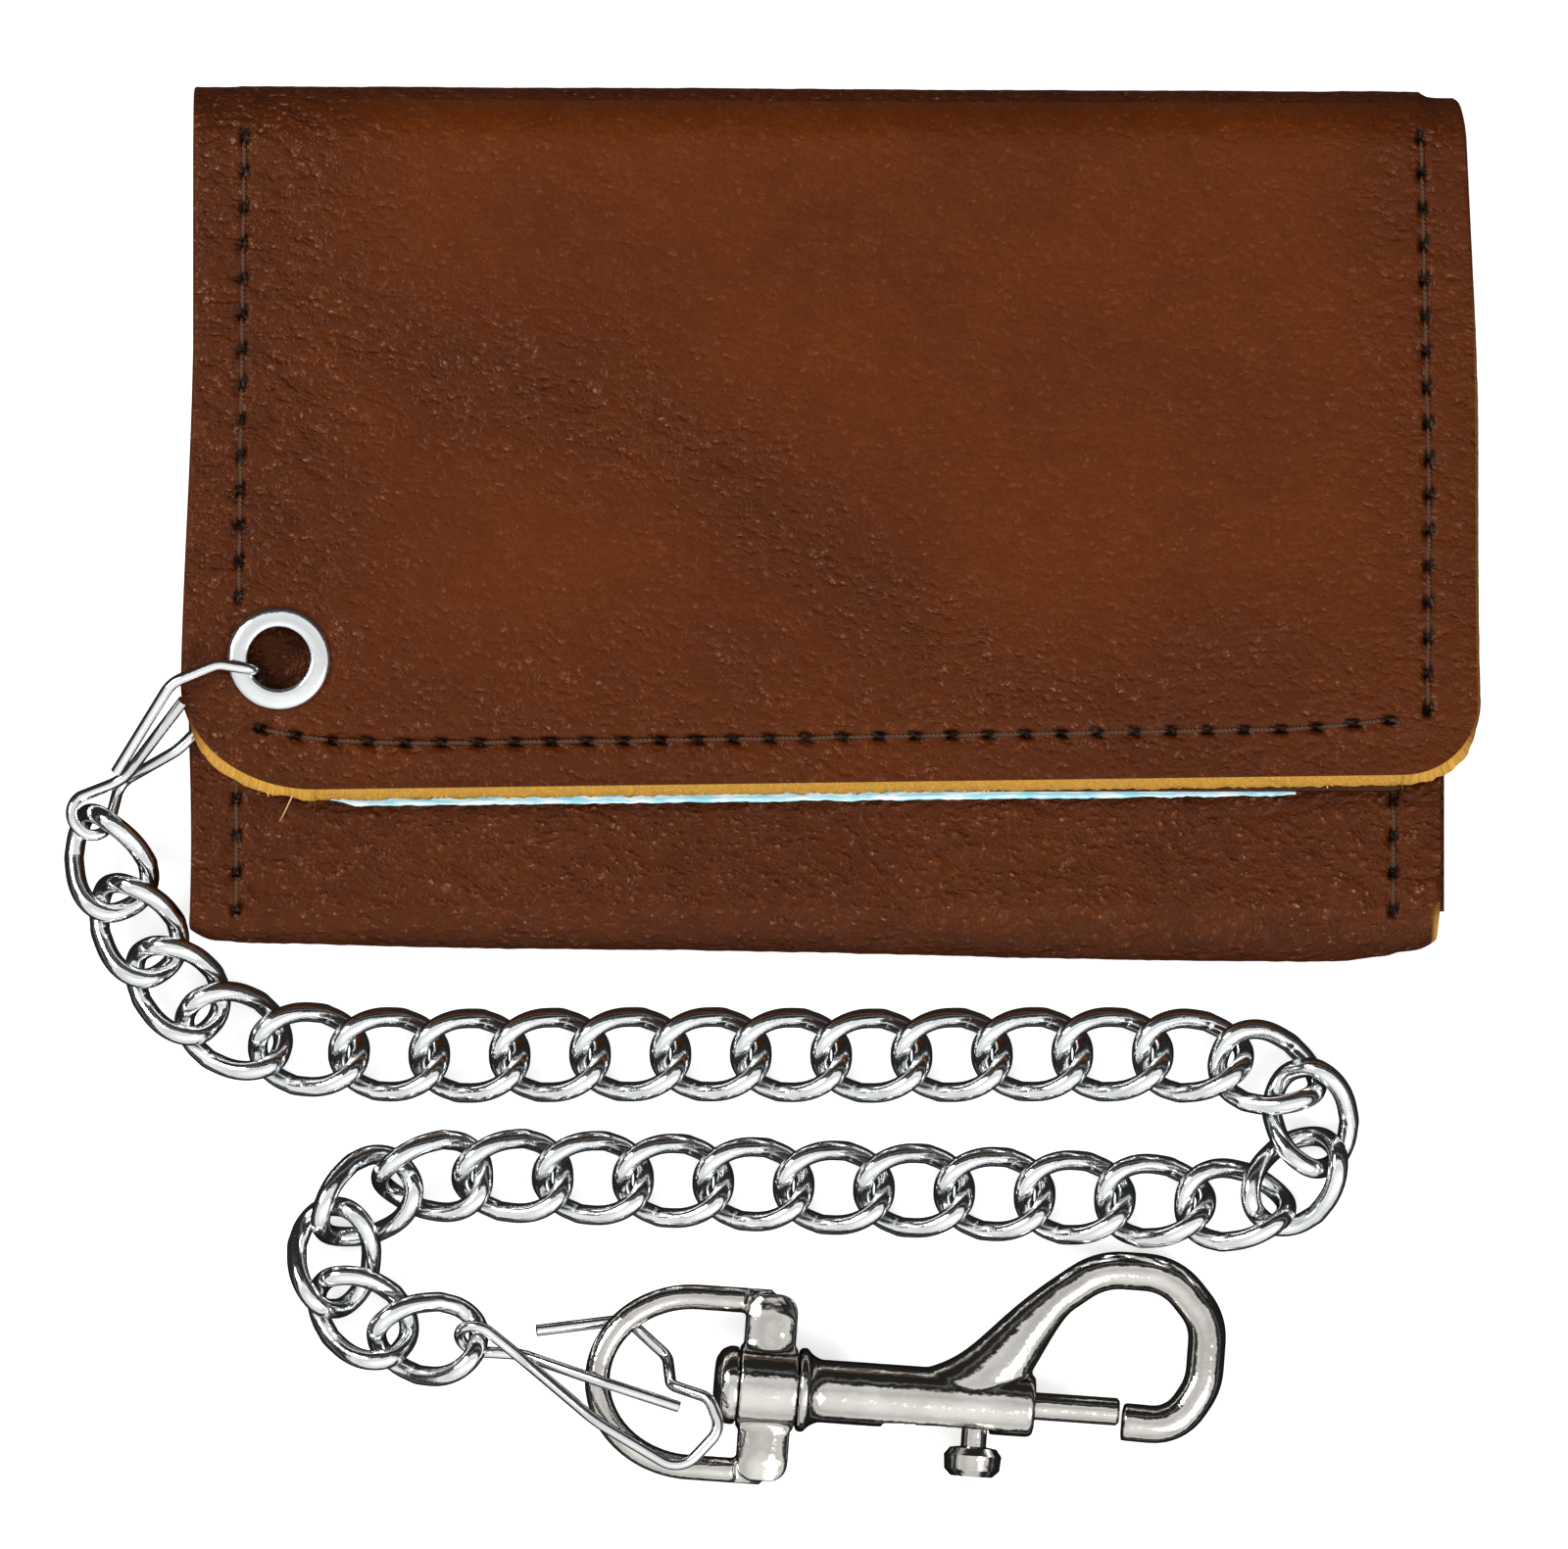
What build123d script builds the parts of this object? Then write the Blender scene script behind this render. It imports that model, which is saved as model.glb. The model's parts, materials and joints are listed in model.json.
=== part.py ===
from build123d import *
from math import atan2, cos, degrees, pi, radians, sin, sqrt
import os

os.makedirs("parts", exist_ok=True)

# A chain wallet that lies closed on its back: +Z up, +Y towards the top fold, +X to the right.
# The origin is the centre of the back panel's outer face. All sizes are in millimetres.

# ---- leather thicknesses and heights of the folded stack ----
leather = 1.2
lining = 0.8
vinyl = 0.3
card_room = 0.8
clip_room = 2.1
back_top = leather + 3 * lining
lower_inner = back_top + card_room
lower_top = lower_inner + 2 * lining + leather
flap_inner = lower_top + clip_room
flap_top = flap_inner + lining + leather
top_fold_radius = flap_top / 2
bottom_fold_radius = lower_top / 2

# ---- outline of the closed wallet ----
top_edge, bottom_edge = 39.0, -38.5
top_line = top_edge - top_fold_radius
bottom_line = bottom_edge + bottom_fold_radius
back_left, back_right = -57.5, 54.5
fold_left, fold_right = -57.1, 56.4
flap_left, flap_right = -58.6, 58.0
flap_bottom_left, flap_bottom_right = -24.2, -22.9
flap_corner_left, flap_corner_right = 8.5, 7.0
lower_left, lower_right = -57.7, 53.9
lower_tip = 17.0
lower_corner = 3.0
fold_corner = 2.4
pocket_left, pocket_right = -55.0, 51.0
pocket_base = bottom_line + 1
divider_margin, divider_drop = 2.0, 4.0
upper_pocket_drop, lower_pocket_drop = 14.0, 24.0
coin_back_drop, coin_front_drop = 3.0, 12.0
lining_inset = 0.9
window_left, window_right = -45.0, 41.0
window_tip, window_base = -24.9, 27.0
stitch_pitch = 3.2
stitch_length, stitch_width, stitch_height = 2.3, 0.55, 0.24
stitch_inset = 4.4

# ---- eyelet ----
eyelet_x, eyelet_y = -49.8, -12.4
eyelet_bore = 2.75
eyelet_barrel = 3.5
eyelet_flange = 4.7
flange_rise = 0.7
washer_thickness = 0.35

# ---- curb chain ----
chain_wire = 1.8
link_half_length = 4.6
link_half_width = 3.35
link_twist = 45.0
link_squareness = 2.6
chain_start = (-66.2, -27.5)
resting_height = 2.46
lift_per_roll = 0.033

# heading and roll of each link, in degrees: down from the wallet, along the first row,
# round the right bend, back along the second row, round the left bend
down_headings = [-72, -62, -50]
row_one_headings = [-24, -5, -2, 0, 1, 0, 0, -1, 0, 1, 0, 0, -2, -20]
right_bend_headings = [-76, -132]
row_two_headings = [177, 177, 178, 177, 178, 178, 177, 178, 178, 179, 182, 216]
left_bend_headings = [268, 322, 360]
link_headings = (
    down_headings + row_one_headings + right_bend_headings + row_two_headings + left_bend_headings
)
link_rolls = [22, 14, 7] + [0] * 11 + [-5, -12, -18]
link_rolls += [-5, 8, 19, 11, 5] + [0] * 5 + [-4, -9, -22, -18, -5, 7, 8]
link_count = len(link_headings)

# height of the pivot at each end of the hanging links, and round the two bends
start_heights = [6.4, 5.3, 4.2, 3.2]
bend_height = 3.2
last_heights = [3.3, 4.2]

# distance from a link's centre to the pivot it shares with its neighbour, by how far they turn
reach_straight, reach_bent, reach_tight, reach_sharp = 3.61, 3.5, 3.35, 3.26
reach_start, reach_end = 3.3, 3.4

# ---- wire clips ----
clip_wire = 1.05
clip_eye = 1.75
clip_heading = -21.0
clip_eye_tilt = 51.0
clip_one_eye = 1.9

# ---- swivel eye and bolt snap, on an axis that dips towards the hook ----
snap_origin = (-6.15, -77.8, 4.05)
snap_heading = -4.1
snap_dip = 3.2
eye_wire = 1.15
eye_middle = -6.6
eye_long, eye_wide = 8.65, 7.65
collar_half = 2.6
collar_radius = 3.7
arm_half = 2.3
arm_thick = 1.8
swivel_pin = 1.9
swivel_gap = 0.1
bead_radius = 3.8
head_radius = 3.55
head_end = -4.7
shank_radius = 2.85
shank_start, shank_end = 4.1, 24.1
hook_bar = 1.72
bore_radius = 1.33
bore_start = 5.0
plunger_radius = 1.25
plunger_start, plunger_end = 16.8, 31.75
plunger_travel = 7.0
stud_along = 18.9
stud_stem = 1.15
stud_head = 2.6
stud_foot = 0.7
spring_wire = 0.14
spring_radius = 0.98
spring_pitch = 1.3


def rolled_plane(origin, heading, rise, roll):
    """A plane whose x runs along a heading and a rise, rolled about that x (all in degrees)."""
    ahead = Vector(cos(radians(heading)), sin(radians(heading)), 0)
    left = Vector(-ahead.Y, ahead.X, 0)
    along = ahead * cos(radians(rise)) + Vector(0, 0, sin(radians(rise)))
    up = along.cross(left)
    normal = up * cos(radians(roll)) - left * sin(radians(roll))
    return Plane(origin=origin, x_dir=along, z_dir=normal)


def section_at(path):
    """The plane across a path's start."""
    return Plane(origin=path @ 0, z_dir=path % 0)


def save(part, name):
    part.label = name
    export_step(part, f"parts/{name}.step")


def leather_sheet(left, right, low, high, bottom, thickness, corners=0.0):
    """A flat rectangular panel, its two upper corners rounded where asked."""
    with BuildPart() as sheet:
        with BuildSketch(Plane.XY.offset(bottom)) as outline:
            with Locations(((left + right) / 2, (low + high) / 2)):
                Rectangle(right - left, high - low)
            if corners:
                fillet(outline.vertices().group_by(Axis.Y)[-1], corners)
        extrude(amount=thickness)
    return sheet.part


def fold_strip(centre_y, outer, side, left, right, corners=0.0):
    """Half a tube of leather that joins two panels round a fold; side is +1 at the top, -1 below."""
    with BuildPart() as strip:
        with BuildSketch(Plane.YZ.offset(left)):
            with Locations((centre_y, outer)):
                Circle(outer)
                Circle(outer - leather, mode=Mode.SUBTRACT)
            with Locations((centre_y - side * outer, outer)):
                Rectangle(2 * outer, 3 * outer, mode=Mode.SUBTRACT)
        extrude(amount=right - left)
        if corners:
            with BuildSketch() as trim:
                with Locations(((left + right) / 2, centre_y)):
                    Rectangle(right - left, 2 * outer)
                fillet(trim.vertices(), corners)
            extrude(amount=2 * outer, mode=Mode.INTERSECT)
    return strip.part


def seam(runs, surface):
    """Stitches of thread along straight runs, each ((x, y), (x, y)), half sunk into a surface."""
    with BuildPart() as thread:
        for start, end in runs:
            step = Vector(end[0] - start[0], end[1] - start[1])
            count = round(step.length / stitch_pitch)
            heading = degrees(atan2(step.Y, step.X))
            spots = [Vector(start[0], start[1]) + step * ((i + 0.5) / count) for i in range(count)]
            with BuildSketch(Plane.XY.offset(surface)):
                for spot in spots:
                    with Locations(Location((spot.X, spot.Y, 0), (0, 0, heading))):
                        SlotOverall(stitch_length, stitch_width)
            extrude(amount=stitch_height)
    return thread.part


# ---- leather outer, in three panels and two folds ----
back_panel = leather_sheet(back_left, back_right, bottom_line, top_line, 0, leather)
save(back_panel, "back_panel")

top_fold = fold_strip(top_line, top_fold_radius, 1, fold_left, fold_right)
save(top_fold, "top_fold")

bottom_fold = fold_strip(bottom_line, bottom_fold_radius, -1, lower_left, lower_right, fold_corner)
save(bottom_fold, "bottom_fold")

lower_panel = leather_sheet(
    lower_left, lower_right, bottom_line, lower_tip, lower_top - leather, leather, lower_corner
)
save(lower_panel, "lower_panel")


def flap_sheet(inset, bottom, thickness, hole):
    """The flap's outline, a little wider at its tip, with rounded lower corners and the eyelet's hole."""
    with BuildPart() as sheet:
        with BuildSketch(Plane.XY.offset(bottom)) as outline:
            with BuildLine():
                Polyline(
                    (fold_left + inset, top_line),
                    (flap_left + inset, flap_bottom_left),
                    (flap_right - inset, flap_bottom_right),
                    (fold_right - inset, top_line),
                    close=True,
                )
            make_face()
            lower = outline.vertices().group_by(Axis.Y)
            fillet(lower[0], flap_corner_left)
            fillet(outline.vertices().sort_by(Axis.X)[-1], flap_corner_right)
            with Locations((eyelet_x, eyelet_y)):
                Circle(hole, mode=Mode.SUBTRACT)
        extrude(amount=thickness)
    return sheet.part


flap_panel = flap_sheet(0, flap_inner + lining, leather, eyelet_barrel)
save(flap_panel, "flap_panel")

flap_lining = flap_sheet(lining_inset, flap_inner, lining, eyelet_barrel)
save(flap_lining, "flap_lining")

id_window = leather_sheet(
    window_left, window_right, window_tip, window_base, flap_inner - vinyl, vinyl
)
save(id_window, "id_window")

# ---- leather inside: bill divider and stepped card pockets ----
bill_divider = leather_sheet(
    pocket_left - divider_margin,
    pocket_right + divider_margin,
    pocket_base,
    top_line - divider_drop,
    leather,
    lining,
)
save(bill_divider, "bill_divider")

upper_card_pocket = leather_sheet(
    pocket_left, pocket_right, pocket_base, top_line - upper_pocket_drop, leather + lining, lining
)
save(upper_card_pocket, "upper_card_pocket")

lower_card_pocket = leather_sheet(
    pocket_left, pocket_right, pocket_base, top_line - lower_pocket_drop, leather + 2 * lining, lining
)
save(lower_card_pocket, "lower_card_pocket")

coin_pocket_back = leather_sheet(
    pocket_left, pocket_right, pocket_base, lower_tip - coin_back_drop, lower_inner + lining, lining
)
save(coin_pocket_back, "coin_pocket_back")

coin_pocket_front = leather_sheet(
    pocket_left, pocket_right, pocket_base, lower_tip - coin_front_drop, lower_inner, lining
)
save(coin_pocket_front, "coin_pocket_front")

# ---- stitching ----
seam_left = flap_left + stitch_inset + 0.6
seam_right = flap_right - stitch_inset
seam_left_low = flap_bottom_left + stitch_inset + 2.2
seam_right_low = flap_bottom_right + stitch_inset + 1.4
flap_stitching = seam(
    [
        ((seam_left + 0.2, top_line - 1), (seam_left, eyelet_y + eyelet_flange + 1.5)),
        ((eyelet_x + 3.2, eyelet_y - eyelet_flange - 1.4), (0, seam_left_low - 1.3)),
        ((0, seam_left_low - 1.3), (seam_right - 3, seam_right_low)),
        ((seam_right, seam_right_low + 3), (seam_right - 0.6, top_line - 1)),
    ],
    flap_top - stitch_height / 2,
)
save(flap_stitching, "flap_stitching")

lower_stitching = seam(
    [
        ((lower_left + 3.7, bottom_line + 1), (lower_left + 3.7, lower_tip - 2)),
        ((lower_right - 3.8, bottom_line + 1), (lower_right - 3.8, lower_tip - 2)),
    ],
    lower_top - stitch_height / 2,
)
save(lower_stitching, "lower_stitching")

back_stitching = seam(
    [
        ((back_left + 3.7, bottom_line + 1), (back_left + 3.7, top_line - 1)),
        ((back_right - 3.7, bottom_line + 1), (back_right - 3.7, top_line - 1)),
    ],
    0,
)
save(back_stitching, "back_stitching")

# ---- eyelet through the flap, rolled over a washer ----
eyelet_axis = Axis((eyelet_x, eyelet_y, 0), (0, 0, 1))
eyelet_plane = Plane(origin=(eyelet_x, eyelet_y, 0), x_dir=(1, 0, 0), z_dir=(0, -1, 0))
with BuildPart() as eyelet:
    with BuildSketch(eyelet_plane) as barrel:
        with BuildLine():
            shoulder = flap_top + flange_rise * 0.55
            Polyline(
                (eyelet_flange, flap_top),
                (eyelet_barrel, flap_top),
                (eyelet_barrel, flap_inner - washer_thickness),
                (eyelet_bore, flap_inner - washer_thickness),
                (eyelet_bore, shoulder),
            )
            Spline(
                (eyelet_bore, shoulder),
                ((eyelet_bore + eyelet_flange) / 2, flap_top + flange_rise),
                (eyelet_flange, flap_top),
                tangents=[(0.3, 1), (0.15, -1)],
            )
        make_face()
    revolve(axis=eyelet_axis)
save(eyelet.part, "eyelet")

with BuildPart() as eyelet_washer:
    with BuildSketch(Plane.XY.offset(flap_inner - washer_thickness)):
        with Locations((eyelet_x, eyelet_y)):
            Circle(eyelet_flange - 0.2)
            Circle(eyelet_barrel, mode=Mode.SUBTRACT)
    extrude(amount=washer_thickness)
save(eyelet_washer.part, "eyelet_washer")


# ---- curb chain ----
def turn_between(before, after):
    return abs((link_headings[after] - link_headings[before] + 180) % 360 - 180)


def reach_at(pivot):
    """Half the pitch on each side of a pivot: the further two links turn, the closer they sit."""
    if pivot <= 3:
        return reach_start
    if pivot == link_count:
        return reach_end
    turned = turn_between(pivot - 1, pivot)
    if turned < 12:
        return reach_straight
    if turned < 30:
        return reach_bent
    return reach_tight if turned < 48 else reach_sharp


def pivot_height(pivot):
    """Links lie on the ground, and one that is rolled over stands a little higher."""
    if pivot <= 3:
        return start_heights[pivot]
    if pivot > link_count - 2:
        return last_heights[pivot - link_count + 1]
    if 16 <= pivot <= 20 or 29 <= pivot:
        return bend_height
    return resting_height + lift_per_roll * max(abs(link_rolls[pivot]), abs(link_rolls[pivot - 1]))


chain_pivots = [Vector(chain_start[0], chain_start[1], pivot_height(0))]
link_planes = []
for number, (heading, roll) in enumerate(zip(link_headings, link_rolls)):
    span = reach_at(number) + reach_at(number + 1)
    rise = pivot_height(number + 1) - pivot_height(number)
    run = sqrt(span**2 - rise**2)
    step = Vector(run * cos(radians(heading)), run * sin(radians(heading)), rise)
    centre = chain_pivots[-1] + step.normalized() * reach_at(number)
    link_planes.append(rolled_plane(centre, heading, degrees(atan2(rise, run)), roll))
    chain_pivots.append(chain_pivots[-1] + step)


def half_outline(points=14):
    """Half of a squared oval, twisted about its long axis so that the oval's ends cross at right angles."""
    outline = []
    for i in range(points + 1):
        angle = pi * (i / points - 0.5)
        along = link_half_length * abs(cos(angle)) ** (2 / link_squareness)
        across = link_half_width * abs(sin(angle)) ** (2 / link_squareness) * (1 if angle > 0 else -1)
        twist = radians(-link_twist * along / link_half_length)
        outline.append((along, across * cos(twist), across * sin(twist)))
    return outline


side_slope = link_half_width * radians(link_twist) / link_half_length
with BuildPart() as half_link:
    with BuildLine() as half_loop:
        Spline(*half_outline(), tangents=[(1, 0, side_slope), (-1, 0, side_slope)])
    with BuildSketch(section_at(half_loop.edges()[0])):
        Circle(chain_wire / 2)
    sweep(path=half_loop.edges()[0])

with BuildPart() as curb_link:
    add(half_link.part)
    add(half_link.part, rotation=(0, 0, 180))

for number, place in enumerate(link_planes, start=1):
    with BuildPart() as link:
        with Locations(place):
            add(curb_link.part)
    save(link.part, f"link_{number:02d}")


# ---- spring-wire clip between the eyelet and the chain ----
def bent_wire(points, radii, name):
    """Round wire along straight runs joined by tangent arcs."""
    with BuildPart() as wire:
        with BuildLine() as route:
            FilletPolyline(*points, radius=radii)
        with BuildSketch(section_at(route.wires()[0])):
            Circle(clip_wire / 2)
        sweep(path=route.wires()[0])
    save(wire.part, name)


wire_above = flap_top + 0.85
wire_below = (lower_top + flap_inner - washer_thickness) / 2 - 0.12
first_link = link_planes[0]
eye_one = chain_pivots[0] - first_link.x_dir * (link_half_length - reach_start)
eye_one_normal = Vector(0.30, 0.10, 0.95).normalized()
eye_one_away = Vector(-0.69, -0.72, 0)
eye_one_away = (eye_one_away - eye_one_normal * eye_one_away.dot(eye_one_normal)).normalized()
eye_one_side = eye_one_normal.cross(eye_one_away)


def by_eye_one(away, side, up):
    return eye_one + eye_one_away * away + eye_one_side * side + eye_one_normal * up


wallet_clip_route = [
    (-58.3, -16.2, wire_above),
    by_eye_one(-3.9, -0.1, 1.15),
    by_eye_one(-0.2, -clip_one_eye, 0.1),
    by_eye_one(clip_one_eye, -clip_one_eye, 0),
    by_eye_one(clip_one_eye, clip_one_eye, 0),
    by_eye_one(-0.2, clip_one_eye, -0.1),
    by_eye_one(-3.9, 0.1, -0.45),
    (-58.9, -20.6, wire_below),
    (-51.75, -13.45, wire_below),
    (-51.75, -13.45, flap_top + 1.45),
    (-55.2, -12.9, flap_top + 1.5),
    (-59.4, -14.6, wire_above + 0.3),
    (-64.4, -22.6, 9.4),
]
wallet_clip_bends = [3, 1, 1.75, 1.75, 1, 2, 3, 1.3, 1.5, 2, 3]
bent_wire(wallet_clip_route, wallet_clip_bends, "wallet_clip")

# ---- spring-wire clip between the chain and the swivel eye ----
last_link = link_planes[-1]
eye_two = chain_pivots[-1] + last_link.x_dir * (link_half_length - reach_end)
clip_plane = Plane(
    origin=eye_two, x_dir=(cos(radians(clip_heading)), sin(radians(clip_heading)), 0), z_dir=(0, 0, 1)
)


def by_eye_two(along, side):
    """A point of the second clip's eye, whose loop is tilted about the clip's length."""
    return (along, side * cos(radians(clip_eye_tilt)), side * sin(radians(clip_eye_tilt)))


hook_clip_route = [
    (19.0, 0.9, 3.55),
    (12.0, 0.5, 3.15),
    (4.0, 0.1, -0.62),
    by_eye_two(0.3, -clip_eye),
    by_eye_two(-clip_eye, -clip_eye),
    by_eye_two(-clip_eye, clip_eye),
    by_eye_two(0.3, clip_eye),
    (4.0, -0.1, 0.70),
    (12.5, -3.0, 3.3),
    (21.2, -4.5, 3.8),
    (23.2, 0.4, 4.0),
    (21.2, 2.6, 3.6),
    (17.6, 2.4, 1.6),
    (16.4, 4.6, -1.3),
    (11.8, 6.4, -1.8),
    (4.6, 2.6, -0.7),
]
hook_clip_route = [clip_plane.from_local_coords(point) for point in hook_clip_route]
hook_clip_bends = [8, 5, 1.5, 1.7, 1.7, 1.5, 6, 10, 2.5, 1.9, 1.5, 1.3, 1.3, 2.2]
bent_wire(hook_clip_route, hook_clip_bends, "hook_clip")

# ---- swivel eye ----
snap = rolled_plane(snap_origin, snap_heading, -snap_dip, 0)
snap_axis = Axis(snap.origin, snap.x_dir)


def across_snap(along, lean=0.0, aside=0.0):
    """A plane across the snap's axis, leant about its normal and moved aside in the hook's plane."""
    facing = snap.x_dir * cos(radians(lean)) + snap.y_dir * sin(radians(lean))
    return Plane(origin=snap.from_local_coords((along, aside, 0)), x_dir=snap.z_dir, z_dir=facing)


with BuildPart() as swivel_eye:
    with BuildLine(snap) as bow:
        Line((0, eye_wide), (eye_middle, eye_wide))
        EllipticalCenterArc((eye_middle, 0), eye_long, eye_wide, start_angle=90, arc_size=180)
        Line((eye_middle, -eye_wide), (0, -eye_wide))
    with BuildSketch(section_at(bow.wires()[0])):
        Circle(eye_wire)
    sweep(path=bow.wires()[0])
    with BuildSketch(snap.offset(-arm_thick)) as band:
        Rectangle(2 * arm_half, 2 * (eye_wide + 0.75))
        fillet(band.vertices(), 1.6)
    extrude(amount=2 * arm_thick)
    with BuildSketch(across_snap(-collar_half)):
        Circle(collar_radius)
    extrude(amount=2 * collar_half)
    with BuildSketch(across_snap(-collar_half)):
        Circle(swivel_pin + swivel_gap)
    extrude(amount=2 * collar_half, mode=Mode.SUBTRACT)
save(swivel_eye.part, "swivel_eye")

# ---- bolt snap body: riveted swivel pin, bead, shank and hook in one casting ----
with BuildPart() as snap_body:
    pin_end = -(collar_half + swivel_gap)
    with BuildSketch(snap):
        with BuildLine():
            Polyline(
                (head_end, 0),
                (head_end, head_radius - 1.2),
                (head_end + 0.5, head_radius - 0.35),
                (head_end + 1.2, head_radius),
                (pin_end, head_radius),
                (pin_end, swivel_pin),
                (-pin_end, swivel_pin),
                (-pin_end, bead_radius - 0.25),
                (-pin_end + 0.25, bead_radius),
                (shank_start - 0.6, bead_radius),
                (shank_start - 0.35, bead_radius - 0.4),
                (shank_start, shank_radius + 0.3),
                (shank_start + 0.6, shank_radius),
                (shank_end - 0.35, shank_radius),
                (shank_end, shank_radius - 0.35),
                (shank_end, 0),
                close=True,
            )
        make_face()
    revolve(axis=snap_axis)
    with BuildLine(snap) as hook_line:
        FilletPolyline(
            (32.1, -0.85),
            (36.9, -0.95),
            (39.2, 3.0),
            (39.2, 8.7),
            (35.6, 12.7),
            (29.2, 12.7),
            (25.6, 9.9),
            radius=[3.8, 5.2, 4.6, 5.2, 6.0],
        )
    with BuildSketch(section_at(hook_line.wires()[0])):
        Circle(hook_bar)
    sweep(path=hook_line.wires()[0])
    for along, aside, lean, half_wide, half_thick in (
        (14.2, 0.4, 4, 2.35, 2.45),
        (19.2, 1.9, 30, 3.2, 2.5),
        (22.6, 6.2, 52, 2.45, 2.05),
        (25.9, 10.14, 42, hook_bar, hook_bar),
    ):
        with BuildSketch(across_snap(along, lean, aside)):
            Ellipse(half_thick, half_wide)
    loft()
    with BuildSketch(across_snap(bore_start)):
        Circle(bore_radius)
    extrude(amount=shank_end - bore_start + 0.6, mode=Mode.SUBTRACT)
    slot_half = stud_stem + 0.15
    slot_start = stud_along - plunger_travel - slot_half
    with BuildSketch(snap.offset(-slot_half)):
        with Locations(((slot_start + stud_along + slot_half) / 2, -(shank_radius + 0.5) / 2)):
            Rectangle(plunger_travel + 2 * slot_half, shank_radius + 0.5)
    extrude(amount=2 * slot_half, mode=Mode.SUBTRACT)
save(snap_body.part, "snap_body")

# ---- plunger with its thumb stud and spring ----
with BuildPart() as plunger:
    with BuildSketch(across_snap(plunger_start)):
        Circle(plunger_radius)
    extrude(amount=plunger_end - plunger_start)
    chamfer(plunger.faces().sort_by(snap_axis)[-1].edges(), 0.25)
    foot = Plane(origin=snap.from_local_coords((stud_along, 0, 0)), x_dir=snap.x_dir, z_dir=-snap.y_dir)
    with BuildSketch(foot):
        Circle(stud_foot)
    extrude(amount=2, mode=Mode.SUBTRACT)
save(plunger.part, "plunger")

with BuildPart() as thumb_stud:
    with BuildSketch(Plane(origin=foot.origin, x_dir=snap.x_dir, z_dir=snap.z_dir)):
        with BuildLine():
            Polyline(
                (0, 0),
                (stud_foot, 0),
                (stud_foot, -plunger_radius),
                (stud_stem, -plunger_radius - 0.05),
                (stud_stem, -4.0),
                (stud_head - 0.5, -4.15),
                (stud_head, -4.8),
                (stud_head - 0.1, -6.1),
                (stud_head - 0.7, -6.7),
                (0, -6.55),
                close=True,
            )
        make_face()
    revolve(axis=Axis(foot.origin, snap.y_dir))
save(thumb_stud.part, "thumb_stud")

spring_room = plunger_start - bore_start - 2 * spring_wire - 0.1
with BuildPart() as coil_spring:
    with BuildLine() as coil:
        Helix(spring_pitch, spring_room, spring_radius)
    with BuildSketch(section_at(coil.edges()[0])):
        Circle(spring_wire)
    sweep(path=coil.edges()[0])

with BuildPart() as plunger_spring:
    with Locations(across_snap(bore_start + spring_wire + 0.05)):
        add(coil_spring.part)
save(plunger_spring.part, "plunger_spring")
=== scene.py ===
import json
import math

import bpy
import numpy as np
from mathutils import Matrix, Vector, noise


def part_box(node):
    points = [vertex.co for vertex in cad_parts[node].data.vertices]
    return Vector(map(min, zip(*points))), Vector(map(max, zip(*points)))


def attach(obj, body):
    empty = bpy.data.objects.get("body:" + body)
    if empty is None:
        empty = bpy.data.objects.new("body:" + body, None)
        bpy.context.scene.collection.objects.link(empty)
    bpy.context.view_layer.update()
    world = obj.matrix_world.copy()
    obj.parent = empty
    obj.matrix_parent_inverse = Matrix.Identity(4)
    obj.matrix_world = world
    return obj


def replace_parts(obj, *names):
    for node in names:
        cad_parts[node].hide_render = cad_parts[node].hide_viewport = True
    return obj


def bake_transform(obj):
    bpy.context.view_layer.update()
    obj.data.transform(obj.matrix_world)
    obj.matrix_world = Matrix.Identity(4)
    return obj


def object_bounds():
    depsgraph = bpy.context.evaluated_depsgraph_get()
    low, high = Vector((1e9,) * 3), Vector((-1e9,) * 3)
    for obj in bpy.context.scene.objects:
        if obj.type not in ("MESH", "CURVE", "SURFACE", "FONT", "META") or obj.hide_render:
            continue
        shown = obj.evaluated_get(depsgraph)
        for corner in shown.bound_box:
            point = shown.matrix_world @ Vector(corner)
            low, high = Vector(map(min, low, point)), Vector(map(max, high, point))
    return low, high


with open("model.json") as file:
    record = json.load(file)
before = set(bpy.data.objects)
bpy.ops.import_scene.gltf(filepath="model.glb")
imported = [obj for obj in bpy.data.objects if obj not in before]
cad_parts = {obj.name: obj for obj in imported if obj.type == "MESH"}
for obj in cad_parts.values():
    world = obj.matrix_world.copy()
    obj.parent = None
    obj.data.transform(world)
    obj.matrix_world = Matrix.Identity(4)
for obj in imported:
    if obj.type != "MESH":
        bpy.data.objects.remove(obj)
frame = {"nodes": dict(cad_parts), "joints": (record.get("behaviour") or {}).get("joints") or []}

cad_low, cad_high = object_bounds()
nodes = frame["nodes"]
MM = 0.001


def span(node):
    """A CAD node's lowest and highest corner, in millimetres."""
    low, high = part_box(node)
    return np.array(low) / MM, np.array(high) / MM


# ---- sizes of the wallet, in millimetres, read from the frame ----
back_lo, back_hi = span("back_panel")
top_lo, top_hi = span("top_fold")
flap_lo, flap_hi = span("flap_panel")
bottom_lo, bottom_hi = span("bottom_fold")
lower_lo, lower_hi = span("lower_panel")
eyelet_lo, eyelet_hi = span("eyelet")
LEATHER = back_hi[2] - back_lo[2]
TOP_RADIUS = top_hi[2] / 2
BOTTOM_RADIUS = bottom_hi[2] / 2
TOP_LINE = top_hi[1] - TOP_RADIUS
BOTTOM_LINE = bottom_lo[1] + BOTTOM_RADIUS
EYELET = (eyelet_lo + eyelet_hi)[:2] / 2
HOLE = 3.55  # radius of the leather's hole round the eyelet's barrel
FLAP_RISE = 1.3  # how much higher the flap's bottom edge ends on the right
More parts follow.
